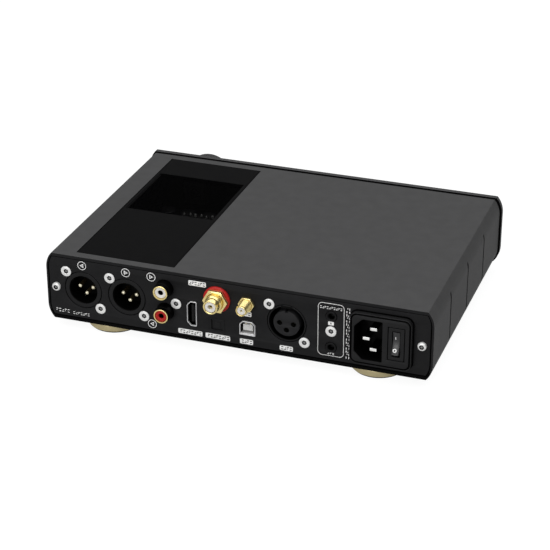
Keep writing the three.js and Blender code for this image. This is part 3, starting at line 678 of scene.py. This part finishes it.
def make_balanced():
    for node in xlr_nodes:
        output = "output" in node
        bore = 8.1 if output else 9.65
        ring = eased([(bore + 0.3, -0.5), (bore + 0.3, 0.0), (10.5, 0.0), (10.7, -0.2), (10.7, -3.1),
                       (10.0, -3.1), (10.0, -20), (0, -20)], 0.12)
        shell = turned("shell", [(bore + 0.3, -3.0), *ring], "socket", sides=96)
        # The bore's lining, and its key or latch, are near-black painted shade.
        cup = turned("cup", [(0, -14.0), (bore, -14.0), (bore, -0.4), (bore + 0.28, -0.03),
                             (bore + 0.28, -14.3), (0, -14.3)], "cavity_shade", sides=96)
        screws = [circle(s * 9.9, s * 9.9, 1.9, 24) for s in (-1, 1)]
        flange = plate("flange", [rectangle(0, 0, 25.4, 31, 2), circle(0, 0, 9.9), *screws], -5.4, -3.1,
                       "socket")
        if output:
            guide = plate("key", [rectangle(0, bore - 0.35, 1.6, 0.9, 0.2)], -12, -1.2, "cavity_shade", 0.1)
        else:
            guide = plate("latch", [rectangle(0, bore - 0.1, 6.4, 1.4, 0.3)], -3, 0.03, "cavity_shade", 0.05)
        assembled(node + "_fine", (shell, cup, flange, guide), "balanced_shell", node, at=middle(node))

    tip = [(x, y - 4.9) for x, y in dome(1.15, 1.1, range(0, 90, 15))]
    for node in ("balanced_output_r_pins", "balanced_output_l_pins"):
        # The floor under the pins is near-black painted shade.
        parts = [cushion("carrier", 7.8, -11.2, "cavity_shade")]
        for x, z in pin_places:
            pin = turned("pin", [(0, -12), (1.15, -12), *tip, (0, -3.8)], "gold_pin", at=(x, 0, z), sides=32)
            parts.append(repaint(pin, "pin_shade", lambda n, at: n.y < 0.6))
        parts.append(plate("earth_spring", [rectangle(-4.6, 5.4, 1.6, 0.35, 0.1)], -11, -5.5, "gold_pin",
                           0.1))
        assembled(node + "_fine", parts, "balanced_pins", node, at=middle(node.replace("pins", "shell")))

    holes = [circle(x, z, 1.45, 32) for x, z in pin_places]
    insert, key = 7.4, 0.75
    notch = asin(key / insert)
    rim = arc(0, 0, insert, pi / 2 + notch, pi * 2.5 - notch, 90)
    rim += [(key, insert - 0.9), (-key, insert - 0.9)]
    # The insert's base, and the linings and bottoms of its pin openings, are near-black painted shade.
    parts = [plate("face", [rim, *holes], -11, 0.4, "insert", 0.25), cushion("base", 9.35, -11.7, "hole_shade")]
    for x, z in pin_places:
        parts.append(turned("bush", [(1.5, -10), (1.5, 0.15), (1.36, 0.15), (1.36, -10), (1.5, -10)],
                            "cavity_shade", at=(x, 0, z), sides=32))
        for profile, paint in ((tube(0.7, 1.2, -10, -5), "gold_pin"), (tube(0, 1.4, -10.8, -9.5), "hole_shade")):
            parts.append(turned("contact", profile, paint, at=(x, 0, z), sides=24))
    assembled("balanced_input_insert_fine", parts, "balanced_insert", "balanced_input_insert",
              at=middle("balanced_input_shell"))


# ---- phono, coaxial and antenna sockets
def make_phono():
    x, z, width, height = across("phono_body")
    proud = box_mm("phono_body")[1].y - REAR
    parts = [plate("block", [rectangle(x, z, width, height, 1)], REAR - 17, REAR - 3.1, "moulded")]
    # The collar round each shell is a black part, painted darker still as shade.
    collar = eased([(4.25, -3.2), (4.25, proud), (4.5, proud), (4.7, proud - 0.25), (4.7, -3.2),
                     (4.25, -3.2)], 0.1)
    for node in ("phono_shell_l", "phono_shell_r"):
        parts.append(turned("collar", collar, "cavity_shade", at=middle(node), sides=80))
    assembled("phono_block", parts, "phono_body", "phono_body")

    rim = [(3.4, -7), (3.4, 6.6), (3.5, 6.95), (3.75, 7.0), (4.05, 6.9), (4.15, 6.6), (4.15, -7), (3.4, -7)]
    # Painted dark reflection: the gold shell's outward sides are near-black, for the dark surroundings they
    # reflect.
    shell = repaint(turned("phono_shell", rim, "gold", sides=80), "cavity_shade",
                    lambda n, at: abs(n.y) < 0.3 and n.x * at.x + n.z * at.z > 0)
    bush = [(1.5, 1), (1.5, 6.1), (1.65, 6.3), (2.0, 6.4), (2.9, 6.4), (3.2, 6.2), (3.3, -7), (0, -7), (0, 1)]
    # The centre bore is lined with near-black painted shade.
    bore = [(0, 0.9), (1.48, 0.9), (1.48, 5.6), (1.2, 5.6), (1.2, 1.2), (0, 1.2)]
    for side, colour in (("l", "white"), ("r", "red")):
        node = "phono_shell_" + side
        piece(link(node + "_fine", shell.data, middle(node)), "phono_gold", node)
        parts = turned("bush", bush, colour, sides=64), turned("lining", bore, "hole_shade", sides=40)
        assembled("phono_bush_" + side, parts, "insulator_" + colour, "phono_insulator_" + side,
                  at=middle(node))
    bpy.data.objects.remove(shell)


def make_nut(node, bore, start, slot):
    """A hexagon nut with its corners turned down and a chamfered bore."""
    low, high = box_mm(node)
    x, _, z = middle(node.replace("nut", "barrel"))
    radius, thick = (high.x - low.x) / 2, high.y - low.y - 0.12
    body = plate("nut", [hexagon(radius), circle(0, 0, bore, 48)], 0, thick, "gold", 0.28)
    rim = radius * cos(pi / 6)
    boss = turned("boss", [(bore, thick - 0.2), (rim - 0.25, thick - 0.2), (rim - 0.5, thick + 0.12),
                           (bore + 0.3, thick + 0.12), (bore, thick - 0.2)], "gold")
    assembled(node + "_fine", (body, boss), slot, node, at=(x, start, z))


def make_coaxial():
    centre = middle("coaxial_barrel")
    low, high = box_mm("coaxial_washer")
    thick, outer = high.y - low.y, (high.x - low.x) / 2
    ring = eased([(4.9, 0), (4.9, thick), (outer - 0.5, thick), (outer, thick - 0.4), (outer, 0)], 0.2)
    washer = turned("coaxial_washer_fine", [*ring, ring[0]], "red", at=centre, sides=96)
    piece(washer, "insulator_red", "coaxial_washer")
    make_nut("coaxial_nut", 4.9, box_mm("coaxial_nut")[0].y, "coaxial_gold")
    proud = box_mm("coaxial_barrel")[1].y - REAR
    collar = eased([(4.8, 0), (4.8, 6.2), (4.35, 6.6), (4.15, 6.9)], 0.15)
    nose = eased([(4.15, proud - 0.4), (3.9, proud), (3.4, proud), (3.15, proud - 0.3), (3.1, -11)], 0.12)
    barrel = turned("coaxial_barrel_fine", [(3.1, -11), (4.6, -11), *collar, *nose], "gold", at=centre,
                    sides=80)
    piece(barrel, "coaxial_gold", "coaxial_barrel")
    bush = turned("bush", [(0, -11), (3.0, -11), (3.0, proud - 0.5), (2.8, proud - 0.2), (1.6, proud - 0.2),
                           (1.35, proud - 0.5), (1.35, 2), (0, 2)], "white", sides=56)
    spring = turned("spring", tube(0.8, 1.3, 1, proud - 2.2), "gold", sides=40)
    assembled("coaxial_bush", (bush, spring), "insulator_white", "coaxial_insulator", at=centre)


def make_antenna():
    centre = middle("antenna_barrel")
    make_nut("antenna_nut", 3.2, REAR, "antenna_gold")
    proud = box_mm("antenna_barrel")[1].y - REAR
    nose = eased([(2.95, proud - 0.7), (2.95, proud - 0.3), (2.75, proud), (2.5, proud), (2.4, proud - 0.2),
                   (2.4, -9)], 0.1)
    pitch, depth, start = 0.7, 0.25, -1
    ring = (depth, 0), (0, 0.35), (0, 0.6), (depth, 0.95)
    screw = [(3.15 - drop, start + (i + share) * pitch) for i in range(int((proud - 0.8 - start) / pitch))
             for drop, share in ring]
    barrel = turned("antenna_barrel_fine", [(2.4, -9), (2.9, -9), *screw, *nose], "gold", at=centre,
                    sides=64)
    piece(barrel, "antenna_gold", "antenna_barrel")
    bush = turned("bush", [(0, -9), (2.3, -9), (2.3, proud - 0.8), (2.1, proud - 0.6), (0.75, proud - 0.6),
                           (0.6, proud - 0.75), (0.6, 3), (0, 3)], "white", sides=48)
    spring = turned("spring", tube(0.3, 0.58, 2, proud - 1.2), "gold", sides=24)
    assembled("antenna_bush", (bush, spring), "insulator_white", "antenna_dielectric", at=centre)


# ---- digital ports
def port_shell(node, steps, upper, depth, proud, liner_end, bevel):
    """A folded shell lined with near-black painted shade, with a floor of painted shade behind it. Each step
    is how much smaller, its chamfer and its corners.
    """
    _, _, width, height = across(node)
    outer, inner, well = [soften(chamfered(0, 0, width - less, height - less, chamfer, upper), corner)
                          for less, chamfer, corner in steps]
    return [plate("tube", [outer, inner], -depth, proud, "tin", bevel),
            plate("lining", [inner, well], 1.1 - depth, liner_end, "cavity_shade", 0.03),
            plate("floor", [outer], -depth, 1.2 - depth, "hole_shade", 0.1)]


def make_ports():
    node = "link_port_shell"
    steps = (0, 2.2, 0.6), (0.8, 2.05, 0.4), (1.0, 2.0, 0.4)
    shell = port_shell(node, steps, False, 12, 0.3, -0.5, 0.1)
    assembled("link_port_fine", shell, "port_steel", node, at=middle(node))
    # The carrier behind the tongue is near-black painted shade.
    parts = [plate("carrier", [rectangle(-0.2, 0, 3.6, 10, 0.3)], -10.5, -8.5, "hole_shade"),
             plate("tongue", [rectangle(-0.4, 0, 1.6, 10.2, 0.3)], -10.5, -0.6, "moulded", 0.2)]
    for i in range(9):
        parts.append(plate("strip", [rectangle(-1.22, -4.4 + 1.1 * i, 0.1, 0.45)], -9, -1.6, "tin", 0.02))
    assembled("link_port_tongue_fine", parts, "link_tongue", "link_port_tongue", at=middle(node))

    node = "usb_port_shell"
    steps = (0, 1.9, 0.3), (0.9, 1.7, 0.2), (1.1, 1.65, 0.2)
    shell = port_shell(node, steps, True, 16, 0.4, -0.6, 0.12)
    shell.append(plate("lip", [rectangle(0, -3.4, across(node)[2] - 1.4, 0.8, 0.1)], -6, 0.3, "tin", 0.1))
    assembled("usb_port_fine", shell, "port_steel", node, at=middle(node))
    # The carrier behind the tongue is near-black painted shade.
    parts = [plate("carrier", [rectangle(0, -0.6, 7.2, 5.4, 0.5)], -14.5, -12.5, "hole_shade"),
             plate("tongue", [soften(chamfered(0, 0.1, 5.6, 3.6, 0.4, True), 0.2)], -14.5, -0.8, "ivory",
                   0.2)]
    for x in (-1.3, 1.3):
        for z in (1.95, -1.75):
            parts.append(plate("strip", [rectangle(x, z, 0.9, 0.16)], -13, -1.4, "gold_pin", 0.03))
    assembled("usb_port_tongue_fine", parts, "usb_tongue", "usb_port_tongue", at=middle(node))


def make_optical():
    back = box_mm("optical_port_body")[0].y
    x, z, width, height = across("optical_port_body")
    rim = rectangle(x, z, width, height, 0.35)
    # The floor behind the rim is near-black painted shade.
    parts = [plate("rim", [rim, rectangle(x, z - 0.02, 6.4, 6.0, 0.25)], back + 2, REAR, "socket", 0.06),
             plate("floor", [rim], back, back + 2.2, "hole_shade", 0.1),
             plate("step", [rectangle(x, z, 8.0, 6.9, 0.3), rectangle(x, z - 0.02, 6.9, 6.2, 0.25)],
                   REAR - 0.1, REAR + 0.12, "socket", 0.05)]
    assembled("optical_port_fine", parts, "optical", "optical_port_body")

    low, high = box_mm("optical_port_shutter")
    _, z, width, height = across("optical_port_shutter")
    width, height = width + 0.24, height + 0.08
    flap = plate("flap", [rectangle(x, z, width, height, 0.2)], low.y, high.y, "socket", 0.1)
    boss = plate("boss", [rectangle(x, z - 0.2, width - 2.4, height - 2.6, 0.3)], high.y - 0.1,
                 high.y + 0.22, "socket", 0.1)
    assembled("optical_flap", (flap, boss), "optical", "optical_port_shutter", body="optical_shutter")


def make_trigger_jacks():
    ring = eased([(1.8, -9), (1.8, 0.0), (2.1, 0.35), (2.75, 0.4), (3.0, 0.15), (3.0, -4)], 0.1)
    # The liner inside each bore is near-black painted shade.
    turnings = (("barrel", [(0, -9), *ring, (0, -4)], "moulded", 56),
                ("liner", tube(1.45, 1.78, -7, -0.6), "hole_shade", 40),
                ("spring", tube(1.1, 1.42, -7, -3.5), "tin", 40))
    for node in jack_nodes:
        x, z, _, height = across(node)
        parts = [turned(name, profile, paint, at=jack_centre(node), sides=sides)
                 for name, profile, paint, sides in turnings]
        parts.append(plate("body", [rectangle(x, z + 0.6, 10, height - 1.2, 0.6)], box_mm(node)[0].y,
                           REAR - 3.1, "moulded"))
        assembled(node + "_fine", parts, "trigger_jack", node)


# ---- mains inlet and rocker
def make_inlet():
    low, high = box_mm("mains_inlet_body")
    face, back = high.y, low.y
    x, z, flange_width, flange_height = across("mains_inlet_body")
    mouth_x, mouth_z, width, height = across("mains_inlet_blades")
    rocker_x, _, rocker_z = rocker_centre()

    def throat(margin, chamfer=4.5, corner=0.8):
        return soften(chamfered(mouth_x, mouth_z, width + margin, height + margin, chamfer), corner)

    def border(margin, corner):
        return rectangle(x, z, flange_width + margin, flange_height + margin, corner)

    def at_rocker(wide, tall, corner=0.0):
        return rectangle(rocker_x, rocker_z, wide, tall, corner)

    mouth, wall, rim, step = throat(0.6), throat(3.0), border(0, 4), border(-0.9, 3.6)
    frame_hole, slot = at_rocker(9.4, 19.6, 0.3), at_rocker(4.4, 15.1, 0.4)
    # The line, foot and gap strips are painted shade for the dark lines round the flange; the mouth's lining
    # and floor, and the shaft and bed round the rocker, are near-black painted shade.
    parts = [
        plate("border", [rim, step], face - 1.4, face, "inlet", 0.12),
        plate("field", [border(-2.7, 2.8), mouth, frame_hole], face - 0.8, face, "inlet", 0.12),
        plate("line", [step, mouth, frame_hole], face - 1.45, face - 0.5, "hole_shade", 0.02),
        plate("skirt", [rim, mouth, frame_hole], REAR + 0.7, face - 1.4, "inlet", 0.12),
        plate("foot", [step, mouth, frame_hole], REAR, REAR + 0.75, "hole_shade", 0.02),
        plate("gap", [border(1.0, 4.5), step], REAR, REAR + 0.06, "hole_shade", 0.01),
        plate("tunnel", [wall, mouth], face - 15.5, REAR + 1.5, "inlet", 0.1),
        plate("lining", [mouth, throat(0.3, 4.45)], face - 15, face - 0.5, "cavity_shade", 0.05),
        plate("floor", [wall], face - 16.5, face - 14.8, "hole_shade", 0.1),
        plate("bezel", [at_rocker(8.5, 18.7, 0.2), slot], REAR - 2, face - 0.04, "inlet", 0.1),
        plate("shaft", [at_rocker(6.4, 17.1, 0.5), slot], back + 8, REAR - 1, "hole_shade", 0.1),
        plate("base", [rectangle(x, z, 30, 26.4, 1)], back, back + 8.2, "inlet", 0.2),
        plate("bed", [at_rocker(10.2, 20.4), slot], REAR - 1.8, face - 1.2, "hole_shade", 0.05),
    ]
    assembled("mains_inlet_fine", parts, "inlet", "mains_inlet_body")

    low, high = box_mm("mains_inlet_blades")
    # The carrier and each blade's sides are near-black painted shade; only a blade's end face is bright
    # metal.
    parts = [plate("carrier", [throat(0, corner=0.6)], low.y, low.y + 2, "cavity_shade", 0.15)]
    for blade_x, rise in ((-78.05, 6), (-78.05, -6), (-74.15, 0)):
        blade = plate("blade", [rectangle(blade_x, mouth_z + rise, 3.7, 1.75, 0.25)], low.y + 1, high.y,
                      "cavity_shade", 0.2)
        parts.append(repaint(blade, "blade", lambda n, at: n.y > 0.9))
    assembled("mains_blades_fine", parts, "blade", "mains_inlet_blades")


def rocker_centre():
    joint = next(j for j in frame["joints"] if j["name"] == "rocker_tilt")
    return Vector(joint["pos_m"]) / MM


def make_rocker():
    """A paddle with a hollowed face, drawn level and then tilted with its upper end pressed in."""
    half, crown, waist, width, tilt = 6.2, 4.8, 3.2, 3.9, radians(12)

    def height(z):
        return waist + (crown - waist) * (z / half) ** 2

    sweep = [(half * i / 12, height(half * i / 12)) for i in range(-12, 13)]
    side = [*sweep, (half, crown - 1.6), (1.6, -2), (-1.6, -2), (-half, crown - 1.6)]
    paddle = plate("paddle", [soften(side, 0.35)], -width / 2, width / 2, "rocker", 0.35)
    # The plate is carried along Y; here it is laid so that it is carried along X.
    paddle.data.transform(Matrix(((0, 1, 0, 0), (0, 0, 1, 0), (1, 0, 0, 0), (0, 0, 0, 1))))
    tidy(paddle.data)
    axle = turned("axle", tube(0, 0.95, -2.1, 2.1), "rocker", sides=24)
    axle.data.transform(Matrix.Rotation(pi / 2, 4, "Z"))
    parts = [paddle, axle]
    for name, z, loops in (("on", 2.7, [rectangle(0.35, 0, 0.4, 1.4, 0.1)]),
                           ("off", -3.9, [circle(0.35, 0, 1.05, 40), circle(0.35, 0, 0.55, 40)])):
        mark = plate(name, loops, -0.12, 0.12, "ink", 0.03)
        slope = atan2(2 * (crown - waist) * z / half ** 2, 1)
        mark.data.transform(Matrix.Translation(Vector((0, height(z), z)) * MM)
                            @ Matrix.Rotation(-slope, 4, "X"))
        parts.append(mark)
    obj = joined("power_rocker_fine", *parts)
    obj.data.transform(Matrix.Rotation(tilt, 4, "X"))
    obj.location = rocker_centre() * MM
    piece(obj, "rocker", "power_rocker", body="power_rocker")


# ---- printing on the rear panel
def ink(loops):
    return plate("ink", loops, REAR, REAR + 0.05, "ink", 0.01)


def ring_mark(x, z, toward):
    """A ring round an arrowhead that points to +X or to -X, in place of a side's letter."""
    arrow = [(x + toward * 1.35, z), (x - toward * 0.95, z + 1.3), (x - toward * 0.95, z - 1.3)]
    notch = [(x + toward * 0.45, z), (x - toward * 0.5, z + 0.52), (x - toward * 0.5, z - 0.52)]
    return [ink([circle(x, z, 2.58, 48), circle(x, z, 2.22, 48)]), ink([arrow, notch])]


def marks(start, end, line, height, along="X", width=1.15, gap=0.42, stroke=0.3):
    """A row of stacked bars and blocks, standing where a line of text would be."""
    half, top = width / 2, (height - stroke) / 2
    upper, lower = (0, top, half), (0, -top, half)
    block = half / 2, -top * 0.3, half / 2
    kinds = (upper, lower), (upper, block), ((-block[0], -block[1], block[2]), lower)
    shapes, place = [], start
    while place + width <= end:
        for sideways, up, reach in kinds[len(shapes) // 2 % 3]:
            corners = rectangle(place + half + sideways, up, 2 * reach, stroke)
            shapes.append([(a, line + b) if along == "X" else (line - b, a) for a, b in corners])
        place += width + gap
    return shapes


def make_printing():
    parts = []
    for node, dx, dz, toward in (("balanced_output_r_shell", 0.2, 14.8, 1),
                                 ("balanced_output_l_shell", 0.2, 14.8, -1),
                                 ("phono_shell_l", 7.9, 5.3, -1), ("phono_shell_r", 8.0, -9.25, 1)):
        x, _, z = middle(node)
        parts += ring_mark(x + dx, z + dz, toward)
    # White plates, each with a row of plain shapes knocked out of it.
    for node, dx, z, width in (("coaxial_barrel", 11.25, 40.15, 10.1), ("link_port_shell", 1.15, 10, 14.1),
                               ("optical_port_body", -0.4, 10, 14.2), ("usb_port_shell", 0.6, 10, 7.5),
                               ("balanced_input_shell", 0.2, 10, 7.4), ("antenna_barrel", 0.5, 26.9, 6.2)):
        x = middle(node)[0] + dx
        shapes = marks(x - width / 2 + 0.6, x + width / 2 - 0.5, z, 1.9, stroke=0.52)
        parts.append(ink([rectangle(x, z, width, 3.0, 0.7), *shapes]))
    x, _, z = middle("trigger_screw")
    box_x, box_z, box_width, box_height, stroke = x + 0.05, 25.6, 14.5, 31.3, 0.28
    parts.append(ink([rectangle(box_x, box_z, box_width, box_height, 2.5),
                      rectangle(box_x, box_z, box_width - 2 * stroke, box_height - 2 * stroke, 2.22)]))
    parts.append(ink([rectangle(box_x, z + 4.75, 3.2, 2.1, 0.25), rectangle(box_x, z + 4.75, 0.6, 1.1)]))
    rows = marks(box_x - 6.0, box_x + 6.1, 38.5, 1.4, width=0.85, gap=0.4, stroke=0.38)
    rows += marks(box_x - 1.9, box_x + 2.1, 11.4, 1.1, width=0.9, gap=0.5)
    rows += marks(10.0, 41.5, x - 9.3, 1.9, along="Z", width=1.2, gap=0.6, stroke=0.42)
    rows += marks(97.2, 105.4, 10.45, 1.9, width=1.2, gap=0.5, stroke=0.38)
    rows += marks(85.2, 95.4, 10.0, 1.5, width=1.0, gap=0.45, stroke=0.32)
    assembled("rear_print", [*parts, *(ink([loop]) for loop in rows)], "rear_panel")


# ---- inside
def make_inside():
    low, high = box_mm("main_board")
    top = low.z + 1.6
    outline = [(low.x, low.y), (high.x, low.y), (high.x, high.y), (-63, high.y), (-63, 52), (low.x, 52)]
    board = plate("board", [outline], low.z, top, "board", 0.1)
    # The outline is drawn in (X, Z) and laid flat about the board's own middle height.
    lift = (low.z + top) / 2 * MM
    board.data.transform(Matrix.Translation((0, 0, lift)) @ Matrix.Rotation(-pi / 2, 4, "X")
                         @ Matrix.Translation((0, -lift, 0)))
    parts = [board]
    cans = [(44 + 13 * i, -30, 5, 14) for i in range(4)] + [(46 + 12 * i, 22, 4, 11) for i in range(3)]
    cans += [(-52, -42 + 17 * i, 6.3, 20) for i in range(4)]
    for x, y, radius, height in cans:
        film = eased([(radius, 0), (radius, height - 0.4), (radius - 0.6, height)], 0.3)
        parts.append(turned("film", [(0, 0), *film, (radius - 0.9, height)], "sleeve_film", at=(x, y, top),
                            axis="Z", sides=40))
        lid = [(0, height - 0.3), (radius - 0.8, height - 0.3), (radius - 1.0, height - 0.1),
               (0, height - 0.1)]
        parts.append(turned("lid", lid, "chip", at=(x, y, top), axis="Z", sides=40))
    for i in range(6):
        x, y, radius = 43.2 + 3.4 * i, -1.4 + 1.1 * (i % 2), 0.5 + 0.25 * (i % 3 == 0)
        pin = eased([(radius, 26), (radius, 27.6), (radius - 0.25, 28)], 0.1)
        parts.append(turned("pin", [(0, 26), *pin, (0, 28)], "blade", at=(x, y, top), axis="Z", sides=20))
    chips = ((51.7, -0.8, 21, 5, 26.5), (58, -15, 10, 10, 1.2), (78, -6, 10, 10, 1.2), (86, 30, 9, 18, 8),
             (10, 10, 14, 14, 1.4), (-14, 24, 12, 12, 1.2), (10, -28, 20, 12, 3))
    pitch = 1.2
    for x, y, width, length, height in chips:
        parts.append(plate("chip", [rectangle(0, height / 2, width, height, 0.2)], -length / 2, length / 2,
                           "chip", 0.15, at=(x, y, top)))
        for side in (-1, 1):
            leg = rectangle(side * (width / 2 + 0.5), 0.25, 1.2, 0.4)
            for k in range(int(length / pitch)):
                parts.append(plate("leg", [leg], -0.2, 0.2, "can", 0.05,
                                   at=(x, y - length / 2 + 0.9 + pitch * k, top)))
    assembled("main_board_fitted", parts, "circuit_board", "main_board")


def paint_hidden_nodes():
    """CAD nodes that keep their own shape get a finish of their own."""
    finishes = {"power_supply": "can", "display_module": "chip", "encoder_body": "chip",
                "encoder_shaft": "tin", "encoder_plunger": "moulded"}
    for node, finish in finishes.items():
        mesh = frame["nodes"][node].data
        mesh.materials.clear()
        mesh.materials.append(look[finish])


for make in (make_camera, make_stage, make_case, make_window, make_front, make_feet, make_rear_panel,
             make_screws, make_balanced, make_phono, make_coaxial, make_antenna, make_ports, make_optical,
             make_trigger_jacks, make_inlet, make_rocker, make_printing, make_inside, paint_hidden_nodes):
    make()
